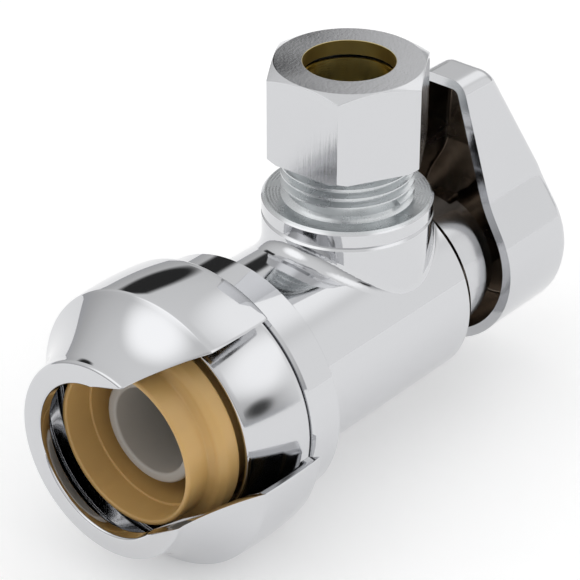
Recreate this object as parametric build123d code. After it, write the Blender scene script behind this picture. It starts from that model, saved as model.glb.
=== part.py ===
"""Quarter-turn angle stop valve: push-fit inlet for 1/2 in tube, compression outlet for 3/8 in tube.

Frame: the inlet tube comes in along +Y through the mouth of the release collar, which is the origin.
The outlet points up, +Z, and the handle turns on the inlet's own axis at the far end. Millimetres.
"""

import os
from math import cos, radians, sin

from build123d import *

# ---- Tubes and threads that the valve is made for
INLET_TUBE_D = 15.875
OUTLET_TUBE_D = 9.525
OUTLET_THREAD_D = 14.29
OUTLET_THREAD_PITCH = 25.4 / 24
NUT_ACROSS_FLATS = 15.875

# ---- Clearances
RUNNING = 0.05
SEAT_GAP = 0.1
LOOSE = 0.15
FACE_GAP = 0.3
INLET_TUBE_ROOM = 0.11
OUTLET_TUBE_ROOM = 0.0875
EDGE_BREAK = 0.25

# ---- Overall places: the outlet's axis, the tower's shoulder, and where the cap starts
TOWER_Y = 34.7
TOWER_TOP_Z = 14.7
CAP_FRONT_Y = 6.0

# ---- Release collar
COLLAR_BORE_R = INLET_TUBE_D / 2 + INLET_TUBE_ROOM
COLLAR_MOUTH_R = COLLAR_BORE_R + 0.2
COLLAR_MOUTH_DEPTH = 3.4
COLLAR_NOSE_R = COLLAR_MOUTH_R + 0.62
COLLAR_NOSE_L = 2.9
COLLAR_FLANGE_R = COLLAR_BORE_R + 2.5525
COLLAR_FLANGE_L = 2.7
COLLAR_STEP = 0.8
COLLAR_SLEEVE_R = COLLAR_BORE_R + 0.9525
COLLAR_BARB_R = COLLAR_SLEEVE_R + 0.45
COLLAR_BARB_L = 1.1
COLLAR_TRAVEL = 2.0

# ---- Inlet end cap, the round nose that screws over the front of the body
CAP_L = 7.2
CAP_FRONT_R = COLLAR_FLANGE_R + 0.65
CAP_LIP_Y = 2.1
CAP_LIP_L = 1.2
CAP_JOINT_GAP = 0.06
CARTRIDGE_R = COLLAR_SLEEVE_R + 1.5
SPIGOT_WALL = 0.85
CAP_THREAD_R = CARTRIDGE_R + SPIGOT_WALL + RUNNING
CAP_REAR_R = CAP_THREAD_R + 1.95
CAP_MIDDLE_R = CAP_REAR_R - 0.8

# ---- Push-fit cartridge
RETAINER_WALL = 0.8
GRAB_T = 0.5
GRAB_RING_CLEAR = 0.7
GRAB_ROOT_R = CARTRIDGE_R - 1.2
GRAB_TIP_R = INLET_TUBE_D / 2 - 0.1875
GRAB_RAKE = 1.6
GRAB_TEETH = 16
GRAB_SLIT = 0.7
SPACER_L = 3.3
INLET_ORING_D = 2.6
TUBE_SOCKET_L = 4.1
LINER_R = INLET_TUBE_D / 2 - 2.0375
LINER_WALL = 1.15
LINER_FRONT_Y = 3.6
LINER_FLANGE_L = 1.0

# ---- Body
BAND_R = CAP_REAR_R + 0.4
BAND_L = 4.2
BAND_FOOT = 0.6
BARREL_WALL = 0.6
BARREL_R = CARTRIDGE_R + BARREL_WALL
BARREL_END_ROUND = 1.4
SADDLE_FILLET = 1.6
TOWER_R = 9.2
TOWER_GROOVE_DROP = 1.95
TOWER_GROOVE_DEPTH = 0.25
THREAD_L = 10.8
THREAD_RELIEF_L = 0.9
WATERWAY_R = 3.0
OUTLET_BORE_R = OUTLET_TUBE_D / 2 + OUTLET_TUBE_ROOM
OUTLET_SOCKET_L = 7.1
SEAT_CONE = 1.35
SEAT_CONE_SLOPE = 0.7

# ---- Ball and seats
BALL_R = 6.5
BALL_SLOT_W = 2.4
BALL_SLOT_DEPTH = 2.0
BALL_CHAMBER_R = BALL_R + 0.3
SEAT_BORE_R = WATERWAY_R + LOOSE
INLET_SEAT_L = 1.6
OUTLET_SEAT_L = 1.7
OUTLET_SEAT_R = BALL_R - 2.3
OUTLET_SEAT_FOOT = 0.6 * BALL_R
REAR_SEAT_BORE_R = 4.0
REAR_SEAT_BACK = 0.3

# ---- Stem and bonnet
BONNET_R = 8.25
BONNET_L = 6.1
BONNET_SHANK_R = BALL_CHAMBER_R + 0.9
BONNET_SHANK_L = 3.0
BONNET_BORE_R = 3.55
STEM_SHOULDER_R = 5.0
STEM_SHOULDER_L = 1.5
STEM_SHOULDER_DROP = 0.6
STEM_R = BONNET_BORE_R - RUNNING
STEM_SQUARE = 4.9
STEM_DRIVE_L = 8.2
WASHER_T = 0.5
STEM_RING_D = 0.95
STEM_RING_DROPS = (4.6, 2.2)
BONNET_RING_D = 1.0
BONNET_RING_DROP = 1.2
STOP_INNER_R = 5.4
STOP_OUTER_R = 7.4
STOP_H = 1.6
STOP_TAB_ANGLE = 30
HANDLE_TURN = 90
STOP_PLAY = 1

# ---- Handle
HANDLE_CLEAR = 0.7
HANDLE_HUB_R = 10.6
HANDLE_TOP_Z = 22.3
HANDLE_TOP_HALF_W = 3.3
HANDLE_TOP_DEPTH = 5.0
HANDLE_MID_DEPTH = 9.6
HANDLE_HUB_DEPTH = 11.3
HANDLE_WALL = 1.1
HANDLE_BOSS_R = 4.6
HANDLE_EDGE = 0.6
SCREW_R = 2.0
SCREW_HEAD_R = 3.5
SCREW_HEAD_L = 2.0
SCREW_HEAD_SUNK = 0.4
SCREW_L = 8.0

# ---- Compression nut and ferrule
NUT_LIFT = 5.2
NUT_H = 10.1
NUT_TURN = 2.4
NUT_CHAMFER_SLOPE = 0.55
NUT_THREAD_R = OUTLET_THREAD_D / 2 + LOOSE
NUT_LAND = 1.6
FERRULE_R = 6.2
FERRULE_CONE = 1.3

# ---- Shroud
SHROUD_FRONT_Y = -3.5
SHROUD_BORE_R = COLLAR_MOUTH_R + 0.2525
SHROUD_FACE_R = SHROUD_BORE_R + 2.0
SHROUD_RIDGE_R = CAP_REAR_R + 2.0
SHROUD_RIDGE_Y = 3.9
SHROUD_BELLY_R = SHROUD_RIDGE_R + 0.25
SHROUD_REAR_R = SHROUD_RIDGE_R - 0.05
SHROUD_REAR_Y = 12.4
SHROUD_WALL = 1.1
SHROUD_BEAD_L = 1.2
SHROUD_SLOT_W = 15.0
SHROUD_SLOT_ANGLE = 26.8

# ---- Places that follow from the sizes above
TOWER = Location((0, TOWER_Y, 0))
CAP_REAR_Y = CAP_FRONT_Y + CAP_L
LIP_START_Y = CAP_FRONT_Y + CAP_LIP_Y
LIP_END_Y = LIP_START_Y + CAP_LIP_L
COLLAR_BARB_Y = LIP_END_Y + FACE_GAP
COLLAR_END_Y = COLLAR_BARB_Y + COLLAR_BARB_L
GRAB_RING_Y = COLLAR_END_Y + COLLAR_TRAVEL + GRAB_RING_CLEAR
SPACER_Y = GRAB_RING_Y + GRAB_T + RUNNING
CARTRIDGE_END_Y = SPACER_Y + SPACER_L + INLET_ORING_D + RUNNING
TUBE_STOP_Y = CARTRIDGE_END_Y + TUBE_SOCKET_L
BAND_END_Y = CAP_REAR_Y + BAND_L
SPIGOT_R = CAP_THREAD_R - RUNNING
LINER_BORE_R = LINER_R - LINER_WALL
INLET_SEAT_Y = TOWER_Y - BALL_R - INLET_SEAT_L
OUTLET_SEAT_TOP_Z = BALL_R + OUTLET_SEAT_L
REAR_SEAT_END_Y = TOWER_Y + BALL_R - REAR_SEAT_BACK
BARREL_END_Y = REAR_SEAT_END_Y + BONNET_SHANK_L
STEM_SHOULDER_Y = REAR_SEAT_END_Y + STEM_SHOULDER_DROP
BONNET_RING_Y = BARREL_END_Y - BONNET_RING_DROP
BONNET_END_Y = BARREL_END_Y + BONNET_L
STEM_RING_YS = [BONNET_END_Y - drop for drop in STEM_RING_DROPS]
STEM_END_Y = BONNET_END_Y + STEM_DRIVE_L
HANDLE_RIM_Y = BONNET_END_Y + HANDLE_CLEAR
TOWER_GROOVE_Z = TOWER_TOP_Z - TOWER_GROOVE_DROP
THREAD_START_Z = TOWER_TOP_Z + THREAD_RELIEF_L
THREAD_TOP_Z = TOWER_TOP_Z + THREAD_L
OUTLET_SOCKET_Z = THREAD_TOP_Z - OUTLET_SOCKET_L
NUT_BOTTOM_Z = TOWER_TOP_Z + NUT_LIFT
NUT_TOP_Z = NUT_BOTTOM_Z + NUT_H
THREAD_R = OUTLET_THREAD_D / 2
THREAD_DEPTH = 0.6134 * OUTLET_THREAD_PITCH


# ---- Small tools
def closed_face(*edges):
    """A flat face inside a ring of edges."""
    return make_face(Wire(list(edges)))


def turned_y(points):
    """A solid turned about the inlet axis from (radius, y) points."""
    outline = make_face(Polyline([(r, y, 0) for r, y in points], close=True))
    return revolve(outline, axis=Axis.Y, revolution_arc=360)


def turned_z(points):
    """A solid turned about the outlet axis from (radius, z) points."""
    outline = make_face(Polyline([(r, 0, z) for r, z in points], close=True))
    return TOWER * revolve(outline, axis=Axis.Z, revolution_arc=360)


def ring_y(inner, outer, start, end):
    """A plain ring on the inlet axis."""
    return turned_y([(inner, start), (outer, start), (outer, end), (inner, end)])


def rod_y(radius, start, end):
    """A plain rod on the inlet axis."""
    return turned_y([(0, start), (radius, start), (radius, end), (0, end)])


def rod_z(radius, start, end):
    """A plain rod on the outlet axis."""
    return turned_z([(0, start), (radius, start), (radius, end), (0, end)])


def o_ring_y(inner, section_d, y):
    """An O-ring on the inlet axis, from its bore and its section."""
    plane = Plane(origin=(0, y, 0), z_dir=(0, 1, 0))
    return plane * Torus(inner + section_d / 2, section_d / 2)


def sector_y(inner, outer, start, end, middle_angle, span):
    """Part of a ring about the inlet axis, its middle measured from +Z towards -X."""
    ring = ring_y(inner, outer, start, end)
    first = middle_angle - span / 2
    steps = max(2, int(span / 30) + 1)
    reach = 2 * outer
    corners = [(0, start, 0)]
    for step in range(steps + 1):
        angle = radians(first + span * step / steps)
        corners.append((-reach * sin(angle), start, reach * cos(angle)))
    wedge = extrude(make_face(Polyline(corners, close=True)), amount=end - start, dir=(0, 1, 0))
    return ring & wedge


def thread_ridge(root_r, crest_r, root_half, crest_half, turns, start_z):
    """One helical ridge about the Z axis, from the radius it stands on to the radius of its crest."""
    height = turns * OUTLET_THREAD_PITCH
    path = Helix(pitch=OUTLET_THREAD_PITCH, height=height, radius=(root_r + crest_r) / 2)
    section = [(root_r, 0, -root_half), (crest_r, 0, -crest_half), (crest_r, 0, crest_half), (root_r, 0, root_half)]
    ridge = sweep(make_face(Polyline(section, close=True)), path=path, is_frenet=True)
    return Location((0, TOWER_Y, start_z)) * ridge


# ---- Body
def make_valve_body():
    """Forged brass body: front spigot, band, barrel, outlet tower, chambers and thread."""
    outside = turned_y(
        [
            (0, LIP_END_Y + FACE_GAP),
            (SPIGOT_R, LIP_END_Y + FACE_GAP),
            (SPIGOT_R, CAP_REAR_Y),
            (BAND_R - EDGE_BREAK, CAP_REAR_Y),
            (BAND_R, CAP_REAR_Y + EDGE_BREAK),
            (BAND_R, BAND_END_Y - EDGE_BREAK),
            (BAND_R - EDGE_BREAK, BAND_END_Y),
            (BARREL_R + BAND_FOOT, BAND_END_Y),
            (BARREL_R, BAND_END_Y + BAND_FOOT),
            (BARREL_R, BARREL_END_Y + 4 * SADDLE_FILLET),
            (0, BARREL_END_Y + 4 * SADDLE_FILLET),
        ]
    )
    groove_low = TOWER_GROOVE_Z - TOWER_GROOVE_DEPTH
    groove_high = TOWER_GROOVE_Z + TOWER_GROOVE_DEPTH
    core_r = THREAD_R - THREAD_DEPTH
    tower = turned_z(
        [
            (0, 0),
            (TOWER_R, 0),
            (TOWER_R, groove_low),
            (TOWER_R - TOWER_GROOVE_DEPTH, TOWER_GROOVE_Z),
            (TOWER_R, groove_high),
            (TOWER_R, TOWER_TOP_Z - 0.35),
            (TOWER_R - 0.35, TOWER_TOP_Z),
            (THREAD_R, TOWER_TOP_Z),
            (core_r, TOWER_TOP_Z + 0.5),
            (core_r, THREAD_TOP_Z - 0.4),
            (core_r - 0.4, THREAD_TOP_Z),
            (0, THREAD_TOP_Z),
        ]
    )
    turns = (THREAD_TOP_Z - 0.7 - THREAD_START_Z) / OUTLET_THREAD_PITCH
    half_pitch = OUTLET_THREAD_PITCH / 2
    ridge = thread_ridge(
        core_r - 0.2, THREAD_R, 0.94 * half_pitch, 0.16 * half_pitch, turns, THREAD_START_Z
    )
    body = outside + tower
    body = fillet([edge for edge in body.edges() if is_saddle_edge(edge)], radius=SADDLE_FILLET)
    body -= beyond_barrel() - rod_z(TOWER_R, 0, TOWER_TOP_Z)
    body = Part(body.solid().fuse(ridge.solid()).wrapped)
    chambers = turned_y(
        [
            (0, CAP_FRONT_Y),
            (CARTRIDGE_R, CAP_FRONT_Y),
            (CARTRIDGE_R, CARTRIDGE_END_Y),
            (COLLAR_BORE_R, CARTRIDGE_END_Y),
            (COLLAR_BORE_R, TUBE_STOP_Y),
            (LINER_BORE_R, TUBE_STOP_Y),
            (LINER_BORE_R, INLET_SEAT_Y),
            (BALL_CHAMBER_R, INLET_SEAT_Y),
            (BALL_CHAMBER_R, REAR_SEAT_END_Y),
            (BONNET_SHANK_R + RUNNING, REAR_SEAT_END_Y),
            (BONNET_SHANK_R + RUNNING, BARREL_END_Y),
            (0, BARREL_END_Y),
        ]
    )
    outlet = turned_z(
        [
            (0, 0),
            (OUTLET_SEAT_R + RUNNING, 0),
            (OUTLET_SEAT_R + RUNNING, OUTLET_SEAT_TOP_Z),
            (WATERWAY_R, OUTLET_SEAT_TOP_Z),
            (WATERWAY_R, OUTLET_SOCKET_Z),
            (OUTLET_BORE_R, OUTLET_SOCKET_Z),
            (OUTLET_BORE_R, THREAD_TOP_Z - SEAT_CONE),
            (OUTLET_BORE_R + SEAT_CONE * SEAT_CONE_SLOPE, THREAD_TOP_Z),
            (0, THREAD_TOP_Z),
        ]
    )
    return body - chambers - outlet


def beyond_barrel():
    """All that lies past the barrel's rounded rear end."""
    reach = BARREL_R + 3 * SADDLE_FILLET
    return turned_y(
        [
            (0, BARREL_END_Y),
            (BARREL_R - BARREL_END_ROUND, BARREL_END_Y),
            (BARREL_R - 0.36 * BARREL_END_ROUND, BARREL_END_Y - 0.36 * BARREL_END_ROUND),
            (BARREL_R, BARREL_END_Y - BARREL_END_ROUND),
            (reach, BARREL_END_Y - BARREL_END_ROUND),
            (reach, BARREL_END_Y + 6 * SADDLE_FILLET),
            (0, BARREL_END_Y + 6 * SADDLE_FILLET),
        ]
    )


def is_saddle_edge(edge):
    """True for the curve where the tower runs into the barrel."""
    middle = edge @ 0.5
    around_tower = abs(((middle.X**2 + (middle.Y - TOWER_Y) ** 2) ** 0.5) - TOWER_R) < 0.01
    around_barrel = abs(((middle.X**2 + middle.Z**2) ** 0.5) - BARREL_R) < 0.01
    return around_tower and around_barrel and middle.Z > 0


# ---- Push-fit inlet
def make_inlet_end_cap():
    """Round chromed nose that holds the cartridge in the body."""
    mouth_r = COLLAR_FLANGE_R + LOOSE
    sleeve_hole_r = COLLAR_SLEEVE_R + LOOSE
    rear_y = CAP_REAR_Y - CAP_JOINT_GAP
    flank_start = (CAP_FRONT_R, CAP_FRONT_Y + EDGE_BREAK)
    flank_middle = (CAP_MIDDLE_R, (CAP_FRONT_Y + rear_y) / 2)
    flank_end = (CAP_REAR_R, rear_y - EDGE_BREAK)
    inside = [
        flank_end,
        (CAP_REAR_R - EDGE_BREAK, rear_y),
        (CAP_THREAD_R, rear_y),
        (CAP_THREAD_R, LIP_END_Y),
        (sleeve_hole_r, LIP_END_Y),
        (sleeve_hole_r, LIP_START_Y + EDGE_BREAK),
        (sleeve_hole_r + EDGE_BREAK, LIP_START_Y),
        (mouth_r, LIP_START_Y),
        (mouth_r, CAP_FRONT_Y),
        (CAP_FRONT_R - EDGE_BREAK, CAP_FRONT_Y),
        flank_start,
    ]
    flank = ThreePointArc(flank_start, flank_middle, flank_end)
    outline = closed_face(flank, *[Line(first, second) for first, second in zip(inside, inside[1:])])
    return revolve(outline, axis=Axis.Y, revolution_arc=360)


def make_release_collar():
    """Stepped plastic collar: pressed in, its rear end spreads the grab ring."""
    flange_y = COLLAR_NOSE_L
    sleeve_y = flange_y + COLLAR_FLANGE_L
    step_r = COLLAR_FLANGE_R - COLLAR_STEP
    step_y = flange_y + COLLAR_STEP
    return turned_y(
        [
            (COLLAR_MOUTH_R, 0),
            (COLLAR_NOSE_R - EDGE_BREAK, 0),
            (COLLAR_NOSE_R, EDGE_BREAK),
            (COLLAR_NOSE_R, flange_y),
            (step_r, flange_y),
            (step_r, step_y),
            (COLLAR_FLANGE_R - EDGE_BREAK, step_y),
            (COLLAR_FLANGE_R, step_y + EDGE_BREAK),
            (COLLAR_FLANGE_R, sleeve_y - EDGE_BREAK),
            (COLLAR_FLANGE_R - EDGE_BREAK, sleeve_y),
            (COLLAR_SLEEVE_R, sleeve_y),
            (COLLAR_SLEEVE_R, COLLAR_BARB_Y),
            (COLLAR_BARB_R, COLLAR_BARB_Y),
            (COLLAR_BARB_R, COLLAR_BARB_Y + COLLAR_BARB_L / 2),
            (COLLAR_BORE_R + EDGE_BREAK, COLLAR_END_Y),
            (COLLAR_BORE_R, COLLAR_END_Y),
            (COLLAR_BORE_R, COLLAR_MOUTH_DEPTH),
            (COLLAR_MOUTH_R, COLLAR_MOUTH_DEPTH),
        ]
    )


def make_collar_retainer():
    """Plastic ring between the cap's lip and the grab ring, round the collar's barb."""
    outer = CARTRIDGE_R - RUNNING
    start = LIP_END_Y + RUNNING
    return ring_y(outer - RETAINER_WALL, outer, start, GRAB_RING_Y - RUNNING)


def make_grab_ring():
    """Stainless ring with raked teeth that bite the tube."""
    outer = CARTRIDGE_R - RUNNING
    blank = turned_y(
        [
            (GRAB_ROOT_R, GRAB_RING_Y),
            (outer, GRAB_RING_Y),
            (outer, GRAB_RING_Y + GRAB_T),
            (GRAB_ROOT_R - 0.1, GRAB_RING_Y + GRAB_T),
            (GRAB_TIP_R, GRAB_RING_Y + GRAB_RAKE + GRAB_T),
            (GRAB_TIP_R, GRAB_RING_Y + GRAB_RAKE),
        ]
    )
    slit_l = GRAB_ROOT_R
    slit = Box(slit_l, GRAB_RAKE * 4, GRAB_SLIT, align=(Align.MIN, Align.CENTER, Align.CENTER))
    slit = Location((0, GRAB_RING_Y + GRAB_RAKE, 0)) * slit
    for number in range(GRAB_TEETH):
        blank -= Rot(0, 360 * number / GRAB_TEETH, 0) * slit
    return blank


def make_grab_ring_spacer():
    """Plastic ring behind the teeth, which keeps them off the O-ring."""
    outer = CARTRIDGE_R - RUNNING
    start = SPACER_Y
    end = start + SPACER_L
    return turned_y(
        [
            (GRAB_ROOT_R + 0.1, start),
            (outer, start),
            (outer, end),
            (COLLAR_BORE_R, end),
            (COLLAR_BORE_R, start + GRAB_RAKE + 0.35),
        ]
    )


def make_inlet_o_ring():
    """Seal round the inlet tube."""
    y = CARTRIDGE_END_Y - RUNNING - INLET_ORING_D / 2
    return o_ring_y(CARTRIDGE_R - RUNNING - INLET_ORING_D, INLET_ORING_D, y)


def make_tube_liner():
    """Stiffener that goes inside a plastic tube, with its flange at the tube stop."""
    end = TUBE_STOP_Y - RUNNING
    flange_y = end - LINER_FLANGE_L
    return turned_y(
        [
            (LINER_BORE_R + EDGE_BREAK, LINER_FRONT_Y),
            (LINER_R - EDGE_BREAK, LINER_FRONT_Y),
            (LINER_R, LINER_FRONT_Y + 2 * EDGE_BREAK),
            (LINER_R, flange_y),
            (COLLAR_BORE_R - RUNNING, flange_y),
            (COLLAR_BORE_R - RUNNING, end),
            (LINER_BORE_R, end),
            (LINER_BORE_R, LINER_FRONT_Y + 2 * EDGE_BREAK),
        ]
    )


def make_inlet_shroud():
    """Free-turning front cover: a dome with a scooped front and one slot for the release clip."""
    face_out = (SHROUD_FACE_R, SHROUD_FRONT_Y)
    bevel = (SHROUD_FACE_R + 0.45, SHROUD_FRONT_Y + 0.45)
    ridge = (SHROUD_RIDGE_R, SHROUD_RIDGE_Y)
    ridge_back = (SHROUD_RIDGE_R + 0.1, SHROUD_RIDGE_Y + 0.5)
    rear_out = (SHROUD_REAR_R, SHROUD_REAR_Y - 0.35)
    inner_r = SHROUD_RIDGE_R - SHROUD_WALL
    bead_r = CAP_REAR_R + FACE_GAP
    inner = [
        (SHROUD_REAR_R - 0.35, SHROUD_REAR_Y),
        (bead_r, SHROUD_REAR_Y),
        (bead_r, SHROUD_REAR_Y - SHROUD_BEAD_L),
        (inner_r, SHROUD_REAR_Y - SHROUD_BEAD_L - 1.0),
        (inner_r, SHROUD_RIDGE_Y + SHROUD_WALL),
        (inner_r - 1.8, SHROUD_RIDGE_Y - 1.2),
        (inner_r - 3.0, SHROUD_RIDGE_Y - 3.6),
        (SHROUD_BORE_R + 1.2, SHROUD_FRONT_Y + 2.6),
        (SHROUD_BORE_R, SHROUD_FRONT_Y + 1.4),
        (SHROUD_BORE_R, SHROUD_FRONT_Y + 0.5),
        (SHROUD_BORE_R + 0.3, SHROUD_FRONT_Y),
        face_out,
    ]
    scoop_middle = ((bevel[0] + ridge[0]) / 2 - 0.45, (bevel[1] + ridge[1]) / 2 + 0.3)
    belly = (SHROUD_BELLY_R, (SHROUD_RIDGE_Y + SHROUD_REAR_Y) / 2)
    outline = closed_face(
        Line(face_out, bevel),
        ThreePointArc(bevel, scoop_middle, ridge),
        Line(ridge, ridge_back),
        ThreePointArc(ridge_back, belly, rear_out),
        *[Line(first, second) for first, second in zip([rear_out] + inner, inner)],
    )
    shell = revolve(outline, axis=Axis.Y, revolution_arc=360)
    slot_l = CAP_REAR_Y - SHROUD_FRONT_Y
    slot = Box(2 * SHROUD_BELLY_R, 2 * slot_l, SHROUD_SLOT_W, align=(Align.MIN, Align.CENTER, Align.CENTER))
    return shell - Rot(0, -SHROUD_SLOT_ANGLE, 0) * Location((0, SHROUD_FRONT_Y, 0)) * slot


# ---- Ball valve
def ball_shape(radius):
    return TOWER * Sphere(radius)


def make_ball():
    """Ball with an elbow port: in at the front, out at the top while the valve is open."""
    ball = ball_shape(BALL_R)
    ball -= rod_y(WATERWAY_R, TOWER_Y - 2 * BALL_R, TOWER_Y)
    ball -= rod_z(WATERWAY_R, 0, 2 * BALL_R)
    ball -= ball_shape(WATERWAY_R)
    slot = Box(BALL_SLOT_W, 2 * BALL_SLOT_DEPTH, 2 * BALL_R)
    return ball - Location((0, TOWER_Y + BALL_R, 0)) * slot


def make_inlet_seat():
    """Soft seat between the body's front shoulder and the ball."""
    end = TOWER_Y - OUTLET_SEAT_R - LOOSE
    seat = ring_y(SEAT_BORE_R, BALL_CHAMBER_R - RUNNING, INLET_SEAT_Y + RUNNING, end)
    return seat - ball_shape(BALL_R + SEAT_GAP)


def make_rear_seat():
    """Soft seat behind the ball, pressed by the bonnet."""
    start = TOWER_Y + OUTLET_SEAT_R + LOOSE
    seat = ring_y(REAR_SEAT_BORE_R, BALL_CHAMBER_R - RUNNING, start, REAR_SEAT_END_Y)
    return seat - ball_shape(BALL_R + SEAT_GAP)


def make_outlet_seat():
    """Soft seat in the foot of the tower, which the ball's side port meets."""
    seat = turned_z(
        [
            (SEAT_BORE_R, OUTLET_SEAT_FOOT),
            (OUTLET_SEAT_R, OUTLET_SEAT_FOOT),
            (OUTLET_SEAT_R, OUTLET_SEAT_TOP_Z - RUNNING),
            (SEAT_BORE_R, OUTLET_SEAT_TOP_Z - RUNNING),
        ]
    )
    return seat - ball_shape(BALL_R + SEAT_GAP)


def make_stem():
    """Brass stem: tang in the ball, shoulder, two seal grooves, square drive and tapped end."""
    tang_start = TOWER_Y + BALL_R - BALL_SLOT_DEPTH + LOOSE
    shoulder_end = STEM_SHOULDER_Y + STEM_SHOULDER_L
    groove_r = STEM_R - STEM_RING_D
    points = [(0, STEM_SHOULDER_Y), (STEM_SHOULDER_R, STEM_SHOULDER_Y), (STEM_SHOULDER_R, shoulder_end)]
    points += [(STEM_R, shoulder_end)]
    for y in STEM_RING_YS:
        half = STEM_RING_D / 2 + RUNNING
        points += [(STEM_R, y - half), (groove_r, y - half), (groove_r, y + half), (STEM_R, y + half)]
    points += [(STEM_R, BONNET_END_Y), (0, BONNET_END_Y)]
    stem = turned_y(points)
    drive_l = STEM_END_Y - BONNET_END_Y
    drive = Box(STEM_SQUARE, drive_l, STEM_SQUARE, align=(Align.CENTER, Align.MIN, Align.CENTER))
    stem += Location((0, BONNET_END_Y, 0)) * drive
    tang_l = STEM_SHOULDER_Y - tang_start
    tang = Box(BALL_SLOT_W - LOOSE, tang_l, 10, align=(Align.CENTER, Align.MIN, Align.CENTER))
    tang = (Location((0, tang_start, 0)) * tang) & rod_y(REAR_SEAT_BORE_R - FACE_GAP, tang_start, STEM_SHOULDER_Y)
    stem += tang
    tapped = rod_y(SCREW_R + RUNNING, screw_seat_y() - SCREW_L - 0.6, STEM_END_Y)
    return stem - tapped


def make_stem_o_ring(y):
    """Seal in one of the stem's two grooves."""
    return o_ring_y(STEM_R - STEM_RING_D, STEM_RING_D, y)


def make_thrust_washer():
    """Slippery washer between the stem's shoulder and the bonnet."""
    start = STEM_SHOULDER_Y + STEM_SHOULDER_L + RUNNING
    return ring_y(STEM_R + RUNNING, STEM_SHOULDER_R, start, start + WASHER_T)


def make_bonnet():
    """Chromed bonnet that screws into the rear of the body and carries the stem and its stop."""
    flange_y = BARREL_END_Y + RUNNING
    nose_y = REAR_SEAT_END_Y + RUNNING
    pocket_end = STEM_SHOULDER_Y + STEM_SHOULDER_L + WASHER_T + 2 * RUNNING
    groove_r = BONNET_SHANK_R - BONNET_RING_D
    half = BONNET_RING_D / 2 + RUNNING
    bonnet = turned_y(
        [
            (STEM_SHOULDER_R + RUNNING, nose_y),
            (BONNET_SHANK_R, nose_y),
            (BONNET_SHANK_R, BONNET_RING_Y - half),
            (groove_r, BONNET_RING_Y - half),
            (groove_r, BONNET_RING_Y + half),
            (BONNET_SHANK_R, BONNET_RING_Y + half),
            (BONNET_SHANK_R, flange_y),
            (BONNET_R - 0.3, flange_y),
            (BONNET_R, flange_y + 0.3),
            (BONNET_R, BONNET_END_Y - 0.6),
            (BONNET_R - 0.6, BONNET_END_Y),
            (BONNET_BORE_R, BONNET_END_Y),
            (BONNET_BORE_R, pocket_end),
            (STEM_SHOULDER_R + RUNNING, pocket_end),
        ]
    )
    stop_span = 360 - STOP_TAB_ANGLE - HANDLE_TURN - 2 * STOP_PLAY
    stop_middle = HANDLE_TURN / 2 + 180
    stop = sector_y(STOP_INNER_R, STOP_OUTER_R, BONNET_END_Y, BONNET_END_Y + STOP_H, stop_middle, stop_span)
    return bonnet + stop


def make_bonnet_o_ring():
    """Seal between the bonnet's shank and the body."""
    return o_ring_y(BONNET_SHANK_R - BONNET_RING_D, BONNET_RING_D, BONNET_RING_Y)


# ---- Handle
def handle_outline(offset):
    """The lever's outline on the rim plane: a round hub running up into a narrow end."""
    hub_r = HANDLE_HUB_R - offset
    top_w = HANDLE_TOP_HALF_W - offset
    top_z = HANDLE_TOP_Z - offset
    waist_z = HANDLE_HUB_R * 0.72
    waist_w = HANDLE_HUB_R * 0.72 - offset * 0.8
    lever = [(-waist_w, waist_z), (-top_w, top_z - 1.2), (-top_w + 1.2, top_z)]
    lever += [(-x, z) for x, z in reversed(lever)]
    lever = [(-waist_w, 0)] + lever + [(waist_w, 0)]
    face = make_face(Polyline([(x, HANDLE_RIM_Y, z) for x, z in lever], close=True))
    hub = make_face(Edge.make_circle(hub_r, Plane(origin=(0, HANDLE_RIM_Y, 0), z_dir=(0, 1, 0))))
    return face, hub


def handle_block(offset, depth_cut):
    """The lever's outline pushed out from the rim plane and cut by its slanting back."""
    blocks = [extrude(face, amount=HANDLE_HUB_DEPTH + 2, dir=(0, 1, 0)) for face in handle_outline(offset)]
    block = blocks[0] + blocks[1]
    top_y = HANDLE_RIM_Y + HANDLE_TOP_DEPTH - depth_cut
    hub_y = HANDLE_RIM_Y + HANDLE_HUB_DEPTH - depth_cut
    middle_y = HANDLE_RIM_Y + HANDLE_MID_DEPTH - depth_cut
    far = 40
    top = (0, top_y, HANDLE_TOP_Z)
    foot = (0, hub_y, 0)
    back = [ThreePointArc(top, (0, middle_y, HANDLE_TOP_Z / 2), foot)]
    corners = [foot, (0, hub_y, -far), (0, 2 * far, -far), (0, 2 * far, far), (0, top_y - 1, far), top]
    back += [Line(first, second) for first, second in zip(corners, corners[1:])]
    cutter = closed_face(*back)
    return block - extrude(cutter, amount=far, dir=(1, 0, 0), both=True)


def screw_seat_y():
    """Where the handle screw's head rests, in the recess in the handle's back."""
    return HANDLE_RIM_Y + HANDLE_HUB_DEPTH - SCREW_HEAD_L - SCREW_HEAD_SUNK


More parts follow.
